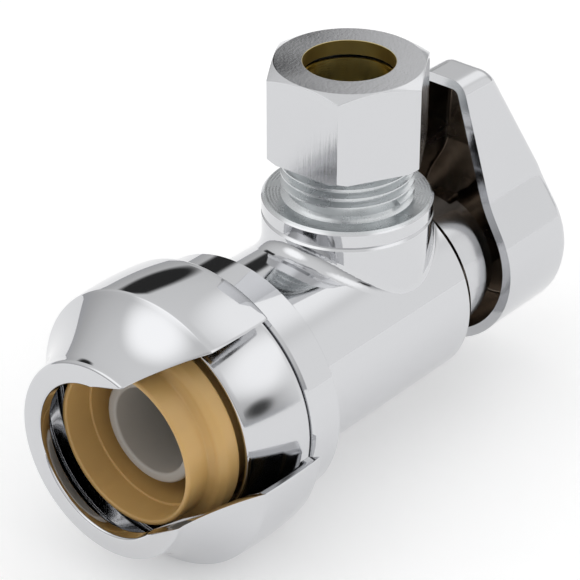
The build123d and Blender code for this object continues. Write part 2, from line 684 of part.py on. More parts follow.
def make_handle():
    """Hollow lever handle with a boss for the stem's square and a tab for the quarter-turn stop."""
    outer = handle_block(0, 0)
    outer_edges = outer.edges().filter_by(lambda edge: edge.bounding_box().min.Y > HANDLE_RIM_Y + 1)
    outer = fillet(outer_edges, radius=HANDLE_EDGE)
    shell = outer - handle_block(HANDLE_WALL, HANDLE_WALL)
    boss_y = BONNET_END_Y + FACE_GAP
    seat_y = screw_seat_y()
    boss = rod_y(HANDLE_BOSS_R, boss_y, seat_y + SCREW_HEAD_L) & rod_y(30, boss_y, HANDLE_RIM_Y + HANDLE_HUB_DEPTH)
    tab = sector_y(HANDLE_BOSS_R - 0.5, STOP_OUTER_R, boss_y, BONNET_END_Y + STOP_H + 1.2, 0, STOP_TAB_ANGLE)
    handle = shell + boss + tab
    square = STEM_SQUARE + 2 * RUNNING
    socket_l = STEM_END_Y + FACE_GAP - boss_y
    socket = Box(square, socket_l, square, align=(Align.CENTER, Align.MIN, Align.CENTER))
    handle -= Location((0, boss_y, 0)) * socket
    handle -= rod_y(SCREW_R + LOOSE, boss_y, seat_y + 1)
    return handle - rod_y(SCREW_HEAD_R + LOOSE, seat_y, seat_y + 10)


def make_handle_screw():
    """Pan-head screw with a cross recess."""
    seat_y = screw_seat_y() + RUNNING
    top_y = seat_y + SCREW_HEAD_L
    screw = turned_y(
        [
            (0, seat_y - SCREW_L),
            (SCREW_R - 0.4, seat_y - SCREW_L),
            (SCREW_R, seat_y - SCREW_L + 0.4),
            (SCREW_R, seat_y),
            (SCREW_HEAD_R, seat_y),
            (SCREW_HEAD_R, seat_y + 0.8),
            (SCREW_HEAD_R - 0.5, top_y - 0.4),
            (SCREW_HEAD_R - 1.4, top_y),
            (0, top_y),
        ]
    )
    recess = Box(3.4, 1.2, 0.8) + Box(0.8, 1.2, 3.4)
    return screw - Location((0, top_y - 0.6, 0)) * recess


# ---- Outlet
def make_compression_nut():
    """Hex nut with chamfered corners, internal thread and a cone that closes the ferrule."""
    cone_start = NUT_TOP_Z - NUT_LAND - FERRULE_CONE
    hexagon = RegularPolygon(NUT_ACROSS_FLATS / 2, 6, major_radius=False, rotation=NUT_TURN)
    nut = extrude(Plane(origin=(0, TOWER_Y, NUT_BOTTOM_Z)) * hexagon, amount=NUT_H)
    corner_r = NUT_ACROSS_FLATS / 2 / cos(radians(30))
    face_r = NUT_ACROSS_FLATS / 2 - 0.1
    rise = (corner_r - face_r) * NUT_CHAMFER_SLOPE
    small = corner_r - 0.25
    nut &= turned_z(
        [
            (0, NUT_BOTTOM_Z),
            (small - 0.3, NUT_BOTTOM_Z),
            (corner_r + 0.1, NUT_BOTTOM_Z + 0.5),
            (corner_r + 0.1, NUT_TOP_Z - rise),
            (face_r, NUT_TOP_Z),
            (0, NUT_TOP_Z),
        ]
    )
    nut -= turned_z(
        [
            (0, NUT_BOTTOM_Z),
            (NUT_THREAD_R + 0.35, NUT_BOTTOM_Z),
            (NUT_THREAD_R, NUT_BOTTOM_Z + 0.35),
            (NUT_THREAD_R, cone_start - 0.9),
            (FERRULE_R + FACE_GAP, cone_start - 0.2),
            (FERRULE_R + FACE_GAP, cone_start),
            (OUTLET_BORE_R, NUT_TOP_Z - NUT_LAND),
            (OUTLET_BORE_R, NUT_TOP_Z),
            (0, NUT_TOP_Z),
        ]
    )
    return nut


def make_ferrule():
    """Brass sleeve with a cone at each end, which the nut squeezes on to the outlet tube."""
    start = THREAD_TOP_Z - SEAT_CONE + FACE_GAP + LOOSE
    end = NUT_TOP_Z - NUT_LAND - FACE_GAP - LOOSE
    rim = OUTLET_BORE_R + LOOSE
    return turned_z(
        [
            (OUTLET_BORE_R, start),
            (rim, start),
            (FERRULE_R, start + (FERRULE_R - rim) / SEAT_CONE_SLOPE),
            (FERRULE_R, end - FERRULE_CONE),
            (rim + LOOSE, end),
            (OUTLET_BORE_R, end),
        ]
    )


MAKERS = {
    "valve_body": make_valve_body,
    "inlet_end_cap": make_inlet_end_cap,
    "release_collar": make_release_collar,
    "collar_retainer": make_collar_retainer,
    "grab_ring": make_grab_ring,
    "grab_ring_spacer": make_grab_ring_spacer,
    "inlet_o_ring": make_inlet_o_ring,
    "tube_liner": make_tube_liner,
    "inlet_shroud": make_inlet_shroud,
    "ball": make_ball,
    "inlet_seat": make_inlet_seat,
    "rear_seat": make_rear_seat,
    "outlet_seat": make_outlet_seat,
    "stem": make_stem,
    "stem_o_ring_inner": lambda: make_stem_o_ring(STEM_RING_YS[0]),
    "stem_o_ring_outer": lambda: make_stem_o_ring(STEM_RING_YS[1]),
    "thrust_washer": make_thrust_washer,
    "bonnet": make_bonnet,
    "bonnet_o_ring": make_bonnet_o_ring,
    "handle": make_handle,
    "handle_screw": make_handle_screw,
    "compression_nut": make_compression_nut,
    "ferrule": make_ferrule,
}

os.makedirs("parts", exist_ok=True)
for name, maker in MAKERS.items():
    part = maker()
    part.label = name
    export_step(part, f"parts/{name}.step")
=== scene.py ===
"""Looks of the angle stop valve as an add-on: one operator for each visible piece and one for the studio.

Everything is in metres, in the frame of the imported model: the inlet opens towards -Y, the outlet points
up +Z and the handle turns about the inlet's axis at +Y.
"""

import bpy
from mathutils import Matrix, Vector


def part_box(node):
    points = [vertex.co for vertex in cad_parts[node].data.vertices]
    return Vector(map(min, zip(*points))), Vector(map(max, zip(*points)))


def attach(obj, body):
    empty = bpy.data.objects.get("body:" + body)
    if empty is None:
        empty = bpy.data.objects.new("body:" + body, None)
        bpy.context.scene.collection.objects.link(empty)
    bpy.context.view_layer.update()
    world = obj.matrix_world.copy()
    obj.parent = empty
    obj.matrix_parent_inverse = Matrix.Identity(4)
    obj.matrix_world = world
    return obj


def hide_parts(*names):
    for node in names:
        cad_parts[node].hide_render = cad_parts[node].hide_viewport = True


bl_info = {
    "name": "Angle stop valve",
    "version": (1, 0, 0),
    "blender": (4, 5, 0),
    "location": "View3D > Sidebar > Valve",
    "description": "Chromed angle stop valve with a push-fit inlet, a compression outlet and a lever handle",
    "category": "Add Mesh",
}

from math import asin, atan2, cos, dist, hypot, pi, radians, sin, tan

import bmesh
import bpy
from mathutils import Vector

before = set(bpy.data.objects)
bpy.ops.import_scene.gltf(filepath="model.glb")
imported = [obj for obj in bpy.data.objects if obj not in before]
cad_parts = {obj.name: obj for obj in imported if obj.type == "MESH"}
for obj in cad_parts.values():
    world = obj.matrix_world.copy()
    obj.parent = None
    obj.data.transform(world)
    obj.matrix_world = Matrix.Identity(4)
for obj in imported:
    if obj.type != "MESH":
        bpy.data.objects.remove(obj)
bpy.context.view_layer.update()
MM = 0.001


# ---- Places that come from the frame
TOWER_Y = sum(corner.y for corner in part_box("compression_nut")) / 2
FLOOR_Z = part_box("inlet_shroud")[0].z
MACHINED_BELOW_NUT = 5.4 * MM
MACHINED_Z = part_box("compression_nut")[0].z - MACHINED_BELOW_NUT

# ---- Fine sizes of the finishes and the meshes
NUT_BORE_R = 4.87 * MM
PLATING_EDGE = 0.06 * MM
MACHINED_EDGE = 0.05 * MM
FINE_RELIEF = 0.004 * MM
GRAIN_RELIEF = 0.006 * MM
CUTTER_RELIEF = 0.008 * MM
COARSE_RELIEF = 0.01 * MM
MERGE = 0.002 * MM


# ---- Settings
class ValveFinishSettings(bpy.types.PropertyGroup):
    """Colours and gloss of the valve's finishes."""

    chrome: bpy.props.FloatVectorProperty(
        name="Chrome", description="Colour of the plating", subtype="COLOR", size=3,
        default=(0.63, 0.635, 0.65),
    )
    chrome_roughness: bpy.props.FloatProperty(
        name="Chrome roughness", description="Roughness of polished plating", default=0.045, min=0, max=1
    )
    machined: bpy.props.FloatVectorProperty(
        name="Machined chrome", description="Colour of plating over cutter marks", subtype="COLOR", size=3,
        default=(0.60, 0.62, 0.63),
    )
    acetal: bpy.props.FloatVectorProperty(
        name="Collar plastic", description="Colour of the tan collar", subtype="COLOR", size=3,
        default=(0.56, 0.35, 0.125),
    )
    liner: bpy.props.FloatVectorProperty(
        name="Liner plastic", description="Colour of the tube liner", subtype="COLOR", size=3,
        default=(0.42, 0.40, 0.37),
    )
    brass: bpy.props.FloatVectorProperty(
        name="Brass", description="Colour of bare brass", subtype="COLOR", size=3, default=(0.8, 0.62, 0.22)
    )
    # Bare brass of the nut's bore, set darker than the brass setting as painted shade of the bore
    dull_brass_and_bore_shade: bpy.props.FloatVectorProperty(
        name="Dull brass", description="Colour of brass left bare in the nut's bore", subtype="COLOR", size=3,
        default=(0.6, 0.48, 0.18),
    )


class ValveShapeSettings(bpy.types.PropertyGroup):
    """Shapes that the visible pieces add to their solids."""

    shroud_bore: bpy.props.FloatProperty(
        name="Cover bore", description="Radius of the cover's front hole", unit="LENGTH", default=8.5 * MM
    )
    shroud_rim: bpy.props.FloatProperty(
        name="Cover rim", description="Radius of the cover's front face", unit="LENGTH", default=10.95 * MM
    )
    shroud_ridge_y: bpy.props.FloatProperty(
        name="Cover ridge", description="Where the dome starts", unit="LENGTH", default=4.0 * MM
    )
    slot_width: bpy.props.FloatProperty(
        name="Slot width", description="Width of the release clip's slot", unit="LENGTH", default=15.0 * MM
    )
    slot_angle: bpy.props.FloatProperty(
        name="Slot angle", description="How far the slot stands turned up", subtype="ANGLE",
        default=radians(26.8),
    )
    slot_flare: bpy.props.FloatProperty(
        name="Slot flare", description="How far the slot opens at the front hole", subtype="ANGLE",
        default=radians(9),
    )
    slot_tip: bpy.props.FloatProperty(
        name="Slot tip", description="How far out the flare reaches", unit="LENGTH", default=1.7 * MM
    )
    handle_depth: bpy.props.FloatProperty(
        name="Handle depth", description="Rim to back at the hub", unit="LENGTH", default=11.3 * MM
    )
    handle_top_depth: bpy.props.FloatProperty(
        name="Lever depth", description="Rim to back at the lever's end", unit="LENGTH", default=5.0 * MM
    )
    handle_top_half: bpy.props.FloatProperty(
        name="Lever half width", description="Half the width of the lever's end", unit="LENGTH",
        default=2.91 * MM,
    )
    handle_edge: bpy.props.FloatProperty(
        name="Handle edge", description="Radius of the handle's back edge", unit="LENGTH", default=1.3 * MM
    )
    handle_wall: bpy.props.FloatProperty(
        name="Handle wall", description="Thickness of the handle's shell", unit="LENGTH", default=1.1 * MM
    )
    waist_x: bpy.props.FloatProperty(
        name="Waist half width", description="Half width where hub meets lever", unit="LENGTH",
        default=7.37 * MM,
    )
    waist_z: bpy.props.FloatProperty(
        name="Waist height", description="Height where hub meets lever", unit="LENGTH", default=8.43 * MM
    )


class ValveStageSettings(bpy.types.PropertyGroup):
    """Camera, floor and lights."""

    azimuth: bpy.props.FloatProperty(
        name="Azimuth", description="Camera's bearing about the outlet axis", subtype="ANGLE",
        default=radians(40.813),
    )
    elevation: bpy.props.FloatProperty(
        name="Elevation", description="Camera's height angle", subtype="ANGLE", default=radians(31.369)
    )
    distance: bpy.props.FloatProperty(
        name="Distance", description="Camera's distance from its aim", subtype="DISTANCE", unit="LENGTH",
        default=0.25251,
    )
    aim_right: bpy.props.FloatProperty(
        name="Aim right", description="Aim's offset to the camera's right", unit="LENGTH", default=-0.006104
    )
    aim_up: bpy.props.FloatProperty(
        name="Aim up", description="Aim's offset along the camera's up", unit="LENGTH", default=0.001992
    )
    lens: bpy.props.FloatProperty(
        name="Lens", description="Focal length in millimetres on a 36 mm sensor", default=142.98
    )
    sky: bpy.props.FloatProperty(name="Sky", description="Brightness of the light tent", default=1.0, min=0)


# ---- Modelling helpers
def deselect_all():
    """Leaves nothing selected, in object mode."""
    active = bpy.context.view_layer.objects.active
    if active is not None and active.mode != "OBJECT":
        bpy.ops.object.mode_set(mode="OBJECT")
    bpy.ops.object.select_all(action="DESELECT")


def arc(start, middle, end, steps):
    """Points on the circle through three points, the last one left out."""
    (ax, ay), (bx, by), (cx, cy) = start, middle, end
    twice = 2 * (ax * (by - cy) + bx * (cy - ay) + cx * (ay - by))
    a2, b2, c2 = ax * ax + ay * ay, bx * bx + by * by, cx * cx + cy * cy
    ux = (a2 * (by - cy) + b2 * (cy - ay) + c2 * (ay - by)) / twice
    uy = (a2 * (cx - bx) + b2 * (ax - cx) + c2 * (bx - ax)) / twice
    radius = hypot(ax - ux, ay - uy)
    first = atan2(ay - uy, ax - ux)
    sweep = (atan2(cy - uy, cx - ux) - first) % (2 * pi)
    if (atan2(by - uy, bx - ux) - first) % (2 * pi) > sweep:
        sweep -= 2 * pi
    return [
        (ux + radius * cos(first + sweep * step / steps), uy + radius * sin(first + sweep * step / steps))
        for step in range(steps)
    ]


def rounded(corners, steps=4):
    """A closed outline from (x, y, radius) corners, each corner turned into an arc."""
    points = []
    count = len(corners)
    for index, (x, y, radius) in enumerate(corners):
        here = Vector((x, y))
        before = Vector(corners[index - 1][:2]) - here
        after = Vector(corners[(index + 1) % count][:2]) - here
        angle = before.angle(after)
        if radius <= 0 or angle > pi - 1e-3:
            points.append((x, y))
            continue
        reach = radius / tan(angle / 2)
        start = here + before.normalized() * reach
        end = here + after.normalized() * reach
        centre = here + (before.normalized() + after.normalized()).normalized() * (radius / sin(angle / 2))
        middle = centre + (here - centre).normalized() * radius
        points += arc(tuple(start), tuple(middle), tuple(end), steps)
        points.append(tuple(end))
    return points


def in_metres(points):
    """Outline points in millimetres turned into metres."""
    return [(radius * MM, place * MM) for radius, place in points]


def turned(name, outline, segments=192):
    """A ring-shaped piece turned about the inlet's axis from closed (radius, place) points."""
    deselect_all()
    radius, place = outline[0]
    middle = Vector((0, place, 0))
    turn = (pi / 2, 0, 0)
    bpy.ops.mesh.primitive_circle_add(vertices=segments, radius=radius, location=middle, rotation=turn)
    piece = bpy.context.object
    piece.name = piece.data.name = name
    bpy.ops.object.mode_set(mode="EDIT")
    for (first_r, first), (next_r, following) in zip(outline, outline[1:] + outline[:1]):
        shift = (0, following - first, 0)
        middle += Vector(shift)
        grow = next_r / first_r
        bpy.ops.mesh.extrude_edges_move(TRANSFORM_OT_translate={"value": shift})
        bpy.ops.transform.resize(value=(grow, 1, grow), center_override=middle)
    bpy.ops.mesh.select_all(action="SELECT")
    bpy.ops.mesh.remove_doubles(threshold=MERGE)
    bpy.ops.mesh.normals_make_consistent(inside=False)
    bpy.ops.object.mode_set(mode="OBJECT")
    place_in_mesh(piece)
    smooth(piece)
    return piece


def pick(piece):
    """Selects one piece alone and makes it active."""
    deselect_all()
    piece.select_set(True)
    bpy.context.view_layer.objects.active = piece


def place_in_mesh(piece):
    """Moves a piece's place into its mesh, so that its object sits at the origin."""
    pick(piece)
    bpy.ops.object.transform_apply(location=True, rotation=True, scale=True)


def smooth(piece, angle=35):
    """Smooth shading, except across edges sharper than the angle in degrees."""
    pick(piece)
    bpy.ops.object.shade_smooth_by_angle(angle=radians(angle))


def finish_piece(piece, material, body, slot, *nodes):
    """Gives a new piece its finish and its body, and lets it stand for its CAD nodes."""
    piece.data.materials.clear()
    piece.data.materials.append(material)
    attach(piece, body)
    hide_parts(*nodes)


def paint_node(node, material):
    """Gives a CAD node that stays a better finish."""
    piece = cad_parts[node]
    if not piece.material_slots:
        raise RuntimeError(f"{node} has no material slot")
    for slot in piece.material_slots:
        slot.material = material


# ---- Finishes
class Finish:
    """A material under construction: its shader, its object coordinates and short ways to add nodes."""

    def __init__(self, name, metallic, roughness, color):
        self.material = bpy.data.materials.new(name)
        self.material.use_nodes = True
        self.tree = self.material.node_tree
        self.shader = self.tree.nodes["Principled BSDF"]
        self.shader.inputs["Metallic"].default_value = metallic
        self.shader.inputs["Roughness"].default_value = roughness
        self.shader.inputs["Base Color"].default_value = (*color, 1)
        self.place = self.node("ShaderNodeTexCoord").outputs["Object"]

    def node(self, kind, **settings):
        node = self.tree.nodes.new(kind)
        for key, value in settings.items():
            setattr(node, key, value)
        return node

    def link(self, source, target):
        self.tree.links.new(source, target)

    def mapped(self, scale=(1, 1, 1), shift=(0, 0, 0)):
        """Object coordinates moved by shift and then scaled."""
        mapping = self.node("ShaderNodeMapping")
        mapping.inputs["Scale"].default_value = scale
        mapping.inputs["Location"].default_value = [a * b for a, b in zip(shift, scale)]
        self.link(self.place, mapping.inputs["Vector"])
        return mapping.outputs["Vector"]

    def noise(self, scale, detail=2.0, vector=None):
        noise = self.node("ShaderNodeTexNoise")
        noise.inputs["Scale"].default_value = scale
        noise.inputs["Detail"].default_value = detail
        self.link(vector or self.place, noise.inputs["Vector"])
        return noise.outputs["Fac"]

    def between(self, value, low, high, start=0.3, end=0.7):
        """A value spread from low to high as the input goes from start to end."""
        spread = self.node("ShaderNodeMapRange")
        for key, number in (("From Min", start), ("From Max", end), ("To Min", low), ("To Max", high)):
            spread.inputs[key].default_value = number
        self.link(value, spread.inputs["Value"])
        return spread.outputs["Result"]

    def mix(self, factor, first, second):
        """A number mixed from first to second, each a socket or a number."""
        mix = self.node("ShaderNodeMix", data_type="FLOAT")
        for key, value in (("A", first), ("B", second)):
            if isinstance(value, (int, float)):
                mix.inputs[key].default_value = value
            else:
                self.link(value, mix.inputs[key])
        self.link(factor, mix.inputs["Factor"])
        return mix.outputs["Result"]

    def colors(self, factor, first, second):
        """A colour ramp from first to second, as the shader's base colour."""
        ramp = self.node("ShaderNodeValToRGB")
        ramp.color_ramp.elements[0].color = (*first, 1)
        ramp.color_ramp.elements[1].color = (*second, 1)
        self.link(factor, ramp.inputs["Fac"])
        self.link(ramp.outputs["Color"], self.shader.inputs["Base Color"])

    def bump(self, height, distance):
        """Fine relief, its depth in metres."""
        bump = self.node("ShaderNodeBump")
        bump.inputs["Strength"].default_value = 1.0
        bump.inputs["Distance"].default_value = distance
        self.link(height, bump.inputs["Height"])
        self.link(bump.outputs["Normal"], self.shader.inputs["Normal"])

    def roughness(self, value):
        self.link(value, self.shader.inputs["Roughness"])


def shade(color, factor):
    """A colour made lighter or darker."""
    return tuple(channel * factor for channel in color)


def polished_chrome(name, settings, worn=1.0):
    """Bright plating with a trace of haze and orange peel. A lower worn makes it rougher."""
    finish = Finish(name, 1.0, settings.chrome_roughness, settings.chrome)
    haze = finish.noise(70, 3)
    finish.colors(haze, shade(settings.chrome, 0.95), settings.chrome)
    rough = settings.chrome_roughness / worn
    finish.roughness(finish.between(haze, rough * 0.7, rough * 1.6))
    finish.bump(finish.noise(260, 1), FINE_RELIEF)
    return finish.material


def body_chrome(name, settings):
    """Polished plating on the forging, and duller plating over cutter marks on the shoulder and the thread."""
    finish = Finish(name, 1.0, settings.chrome_roughness, settings.chrome)
    split = finish.node("ShaderNodeSeparateXYZ")
    finish.link(finish.place, split.inputs["Vector"])
    cut = finish.between(split.outputs["Z"], 0, 1, MACHINED_Z - MACHINED_EDGE, MACHINED_Z + MACHINED_EDGE)
    rings = finish.node("ShaderNodeTexWave", wave_type="RINGS", rings_direction="Z", wave_profile="SIN")
    rings.inputs["Scale"].default_value = 900
    rings.inputs["Distortion"].default_value = 1.2
    rings.inputs["Detail"].default_value = 2
    finish.link(finish.mapped(shift=(0, -TOWER_Y, 0)), rings.inputs["Vector"])
    finish.colors(cut, settings.chrome, settings.machined)
    haze = finish.noise(70, 3)
    polished = finish.between(haze, settings.chrome_roughness * 0.7, settings.chrome_roughness * 1.6)
    dull = finish.between(finish.noise(500, 3), 0.2, 0.36)
    finish.roughness(finish.mix(cut, polished, dull))
    relief = finish.mix(cut, finish.noise(260, 1), rings.outputs["Fac"])
    finish.bump(relief, FINE_RELIEF)
    return finish.material


def radius_from_outlet(finish):
    """Distance from the outlet's axis, as a socket."""
    flat = finish.node("ShaderNodeVectorMath", operation="MULTIPLY")
    flat.inputs[1].default_value = (1, 1, 0)
    finish.link(finish.mapped(shift=(0, -TOWER_Y, 0)), flat.inputs[0])
    length = finish.node("ShaderNodeVectorMath", operation="LENGTH")
    finish.link(flat.outputs["Vector"], length.inputs[0])
    return length.outputs["Value"]


def nut_chrome(name, settings):
    """Plated nut with faint upright cutter lines on its flats and bare brass in its bore, the brass darkened
    as painted shade of the bore.
    """
    finish = Finish(name, 1.0, 0.16, settings.chrome)
    lines = finish.noise(1, 3, finish.mapped(scale=(3600, 3600, 150)))
    patches = finish.noise(160, 2)
    radius = radius_from_outlet(finish)
    plated = finish.between(radius, 0, 1, NUT_BORE_R, NUT_BORE_R + PLATING_EDGE)
    # Inside the bore: bare brass, darker than the ferrule's, as painted shade of the bore
    finish.colors(plated, settings.dull_brass_and_bore_shade, settings.chrome)
    finish.roughness(finish.mix(plated, 0.35, finish.between(patches, 0.1, 0.2)))
    finish.bump(lines, CUTTER_RELIEF)
    return finish.material


def hollow_plate_and_shade(name, settings):
    """Thin dull plating in the handle's hollow, its dark brown colour partly painted shade of the hollow."""
    finish = Finish(name, 1.0, 0.35, shade(settings.chrome, 0.3))
    patches = finish.noise(150, 3)
    # Dark brown tones: painted shade of the hollow over the dull plating
    dark, light = (0.13, 0.105, 0.085), (0.42, 0.36, 0.30)
    finish.colors(patches, dark, light)
    finish.roughness(finish.between(patches, 0.12, 0.3))
    finish.bump(finish.noise(900, 3), COARSE_RELIEF)
    return finish.material


def tan_acetal(name, settings):
    """Moulded tan plastic, a little translucent, with faint flow marks."""
    finish = Finish(name, 0.0, 0.38, settings.acetal)
    flow = finish.noise(1, 3, finish.mapped(scale=(220, 90, 220)))
    finish.colors(flow, shade(settings.acetal, 0.86), shade(settings.acetal, 1.12))
    finish.roughness(finish.between(finish.noise(900, 2), 0.3, 0.46))
    finish.shader.inputs["Subsurface Weight"].default_value = 0.15
    finish.shader.inputs["Subsurface Radius"].default_value = (1.0, 0.5, 0.2)
    finish.shader.inputs["Subsurface Scale"].default_value = 0.8 * MM
    finish.bump(finish.noise(1400, 2), GRAIN_RELIEF)
    return finish.material


def moulded_plastic(name, color, low=0.35, high=0.5):
    """Plain moulded plastic with a fine grain."""
    finish = Finish(name, 0.0, (low + high) / 2, color)
    clouds = finish.noise(180, 3)
    finish.colors(clouds, shade(color, 0.92), shade(color, 1.06))
    finish.roughness(finish.between(clouds, low, high))
    finish.bump(finish.noise(1600, 2), GRAIN_RELIEF)
    return finish.material


def turned_metal(name, color, vertical, low=0.2, high=0.32, scale=1100):
    """Bare turned metal with cutter rings about its own axis."""
    finish = Finish(name, 1.0, (low + high) / 2, color)
    rings = finish.node("ShaderNodeTexWave", wave_type="BANDS", bands_direction="Z" if vertical else "Y")
    rings.inputs["Scale"].default_value = scale
    rings.inputs["Distortion"].default_value = 1.5
    rings.inputs["Detail"].default_value = 2
    finish.link(finish.place, rings.inputs["Vector"])
    stain = finish.noise(140, 3)
    finish.colors(stain, shade(color, 0.82), shade(color, 1.06))
    finish.roughness(finish.between(stain, low, high))
    finish.bump(rings.outputs["Fac"], FINE_RELIEF)
    return finish.material


def rubber(name):
    """Moulded seal rubber."""
    finish = Finish(name, 0.0, 0.55, (0.02, 0.02, 0.02))
    finish.roughness(finish.between(finish.noise(600, 3), 0.45, 0.65))
    finish.bump(finish.noise(2000, 2), COARSE_RELIEF)
    return finish.material


def white_paint(name, color):
    """Pale matt studio floor with the slightest mottle."""
    finish = Finish(name, 0.0, 0.9, color)
    finish.colors(finish.noise(12, 2), shade(color, 0.985), color)
    return finish.material


# ---- Pieces
def loft(name, rings):
    """A surface through closed rings of points, each extruded from the one before."""
    deselect_all()
    bpy.ops.mesh.primitive_circle_add(vertices=len(rings[0]), radius=1)
    piece = bpy.context.object
    piece.name = piece.data.name = name
    for vertex, point in zip(piece.data.vertices, rings[0]):
        vertex.co = point
    bpy.ops.object.mode_set(mode="EDIT")
    for last, ring in zip(rings, rings[1:]):
        bpy.ops.mesh.extrude_edges_move(TRANSFORM_OT_translate={"value": (0, 0, 0)})
        mesh = bmesh.from_edit_mesh(piece.data)
        moved = [vertex for vertex in mesh.verts if vertex.select]
        for vertex in moved:
            nearest = min(range(len(last)), key=lambda index: (vertex.co - last[index]).length_squared)
            vertex.co = ring[nearest]
        bmesh.update_edit_mesh(piece.data)
    bpy.ops.mesh.select_all(action="SELECT")
    bpy.ops.mesh.remove_doubles(threshold=2 * MERGE)
    bpy.ops.mesh.normals_make_consistent(inside=False)
    bpy.ops.object.mode_set(mode="OBJECT")
    return piece


def join(piece, *others):
    """Puts other pieces' meshes into the first piece."""
    deselect_all()
    for other in others:
        other.select_set(True)
    piece.select_set(True)
    bpy.context.view_layer.objects.active = piece
    bpy.ops.object.join()
    return piece


def add_modifier(piece, kind, **settings):
    """Adds a modifier with these settings and applies it."""
    pick(piece)
    modifier = piece.modifiers.new(kind.lower(), kind)
    for key, value in settings.items():
        setattr(modifier, key, value)
    bpy.ops.object.modifier_apply(modifier=modifier.name)


class ShroudShape:
    """The front cover's turned outline, in millimetres, and its slot."""

    def __init__(self, settings):
        low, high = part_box("inlet_shroud")
        self.front, self.rear, self.belly = low.y / MM, high.y / MM, high.z / MM
        self.settings = settings

    def outline(self):
        """Closed (radius, place) points: front face, cove, ridge, dome, rear lip and the inside."""
        s = self.settings
        bore, rim = s.shroud_bore / MM, s.shroud_rim / MM
        ridge = (self.belly - 0.25, s.shroud_ridge_y / MM)
        cove_start = (rim, self.front + 0.75)
        cove_middle = ((cove_start[0] + ridge[0]) / 2 - 0.62, (cove_start[1] + ridge[1]) / 2 + 0.42)
        cove = arc(cove_start, cove_middle, ridge, 14)
        belly = (self.belly - 0.02, (ridge[1] + self.rear) / 2)
        rear = (self.belly - 0.3, self.rear)
        dome = arc(ridge, belly, rear, 10)
        wall = self.belly - 1.35
        corners = [(bore, self.front, 0.3), (rim, self.front, 0.42)]
        corners += [(radius, place, 0) for radius, place in cove]
        corners += [(ridge[0], ridge[1], 0.4)]
        corners += [(radius, place, 0) for radius, place in dome[1:]]
        corners += [(rear[0], rear[1], 0.35), (wall - 0.6, self.rear, 0.2), (wall - 0.6, self.rear - 1.2, 0.2)]
        corners += [(wall, self.rear - 2.2, 0.3), (wall, ridge[1] + 1.1, 1.5)]
        corners += [(wall - 1.8, ridge[1] - 1.2, 1.0), (wall - 3.0, ridge[1] - 3.6, 0.8)]
        corners += [(bore + 1.2, self.front + 2.6, 0.3), (bore, self.front + 1.4, 0.2)]
        return in_metres(rounded(corners))


class VALVE_OT_shroud(bpy.types.Operator):
    """Models the domed front cover with its slot for the release clip"""

    bl_idname = "valve.shroud"
    bl_label = "Front cover"

    segments = 200
    spun = radians(300)
    slot_edge = 0.14 * MM

    def execute(self, context):
        settings = context.scene.valve_shape
        outline = ShroudShape(settings).outline()
        piece = self.spin(outline)
        self.open_slot(piece, settings)
        self.close_ends(piece, len(outline))
        place_in_mesh(piece)
        smooth(piece, 40)
        chrome = polished_chrome("cover_chrome", context.scene.valve_finish)
        finish_piece(piece, chrome, "cover", "polished_chrome", "inlet_shroud")
        return {"FINISHED"}

    def spin(self, outline):
        """The outline turned most of the way round the inlet's axis, starting at +X."""
        deselect_all()
        bpy.ops.mesh.primitive_circle_add(vertices=len(outline), radius=1)
        piece = bpy.context.object
        piece.name = piece.data.name = "front_cover"
        for vertex, (radius, place) in zip(piece.data.vertices, outline):
            vertex.co = (radius, place, 0)
        bpy.ops.object.mode_set(mode="EDIT")
        bpy.ops.mesh.select_all(action="SELECT")
        bpy.ops.mesh.spin(steps=self.segments, angle=self.spun, center=(0, 0, 0), axis=(0, 1, 0))
        bpy.ops.object.mode_set(mode="OBJECT")
        return piece

    def open_slot(self, piece, settings):
        """Spreads the turned grid so that its two ends lie along a slot with parallel sides."""
        half = settings.slot_width / 2
        bore = settings.shroud_bore
        slant = settings.slot_angle
        for vertex in piece.data.vertices:
            x, y, z = vertex.co
            radius = hypot(x, z)
            share = (atan2(z, x) % (2 * pi)) / self.spun
            # A first point that falls a hair below +X comes out as nearly a whole turn
            if share > 1.1:
                share = 0
            tip = max(0, 1 - (radius - bore) / settings.slot_tip) ** 2
            start = asin(half / radius) + settings.slot_flare * tip
            angle = slant + start + share * (2 * pi - 2 * start)
            vertex.co = (radius * cos(angle), y, radius * sin(angle))

    def close_ends(self, piece, count):
        """Fills the slot's two cut walls and softens their edges."""
        pick(piece)
        bpy.ops.object.mode_set(mode="EDIT")
        bpy.ops.mesh.select_all(action="DESELECT")
        bpy.ops.mesh.select_mode(type="EDGE")
        bpy.ops.mesh.select_non_manifold(extend=False)
        mesh = bmesh.from_edit_mesh(piece.data)
        open_edges = [edge for edge in mesh.edges if edge.select]
        if len(open_edges) != 2 * count:
            raise RuntimeError(f"the cover's slot has {len(open_edges)} open edges, not {2 * count}")
        bpy.ops.mesh.edge_face_add()
        bpy.ops.mesh.bevel(offset=self.slot_edge, offset_type="OFFSET", segments=2, affect="EDGES")
        bpy.ops.mesh.select_all(action="SELECT")
        bpy.ops.mesh.normals_make_consistent(inside=False)
        bpy.ops.object.mode_set(mode="OBJECT")


